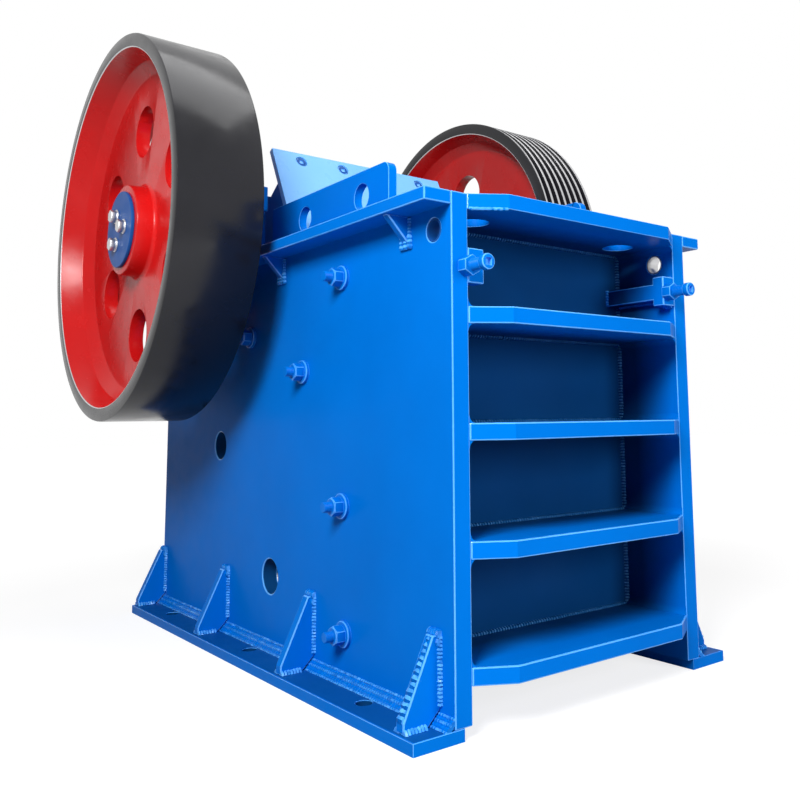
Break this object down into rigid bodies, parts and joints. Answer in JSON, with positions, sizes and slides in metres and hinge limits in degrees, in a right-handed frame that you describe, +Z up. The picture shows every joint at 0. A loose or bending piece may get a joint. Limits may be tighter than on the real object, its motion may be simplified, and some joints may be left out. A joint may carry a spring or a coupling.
{
  "type": "jaw crusher",
  "caption": "Primary jaw crusher with a welded plate frame, a ribbed open front, a swing jaw, a flywheel and a grooved pulley.",
  "frame": {"origin": "centre of the overall box at floor level", "axes": "+X to the pulley side, +Y from the ribbed front wall to the back, +Z up"},
  "size_m": [2.141, 2.635, 2.5356],
  "materials": {
    "blue_paint": "gloss blue paint on plate and castings",
    "red_paint": "gloss red paint on the wheels",
    "plain_steel": "bare machined steel",
    "jaw_steel": "dark cast wear steel"
  },
  "bodies": {
    "frame": {"side_plate_left": "blue_paint", "side_plate_right": "blue_paint", "foot_left": "blue_paint", "foot_right": "blue_paint", "foot_gussets": "blue_paint", "front_wall": "blue_paint", "front_rib_1": "blue_paint", "front_rib_2": "blue_paint", "front_rib_3": "blue_paint", "front_rib_4": "blue_paint", "top_flange_front": "blue_paint", "top_flange_left": "blue_paint", "top_flange_right": "blue_paint", "flange_gussets": "blue_paint", "clamp_brackets": "blue_paint", "clamp_bolts": "blue_paint", "side_studs": "blue_paint", "cheek_plate_left": "blue_paint", "cheek_plate_right": "blue_paint", "jaw_ledge": "blue_paint", "jaw_guard": "blue_paint", "swing_jaw": "blue_paint", "rear_wall": "blue_paint", "rear_ribs": "blue_paint", "carriage_guides": "blue_paint", "toggle_carriage": "blue_paint", "bearing_housing_left": "blue_paint", "bearing_housing_right": "blue_paint", "bearing_cap_left": "blue_paint", "bearing_cap_right": "blue_paint", "bearing_covers": "blue_paint", "fixed_jaw_plate": "jaw_steel", "swing_jaw_plate": "jaw_steel", "toggle_plate": "jaw_steel", "guard_bolts": "plain_steel", "adjusting_shims": "plain_steel", "tension_rods": "plain_steel", "tension_springs": "plain_steel", "bearing_cap_nuts": "plain_steel"},
    "rotor": {"shaft": "plain_steel", "flywheel": "red_paint", "pulley": "red_paint", "end_cap_left": "blue_paint", "end_cap_right": "blue_paint", "end_bolts": "plain_steel"}
  },
  "joints": [
    {"name": "rotor_spin", "type": "hinge", "parent": "frame", "child": "rotor", "pos_m": [0, 0.50746, 1.7256], "axis": [1, 0, 0], "continuous": true}
  ]
}
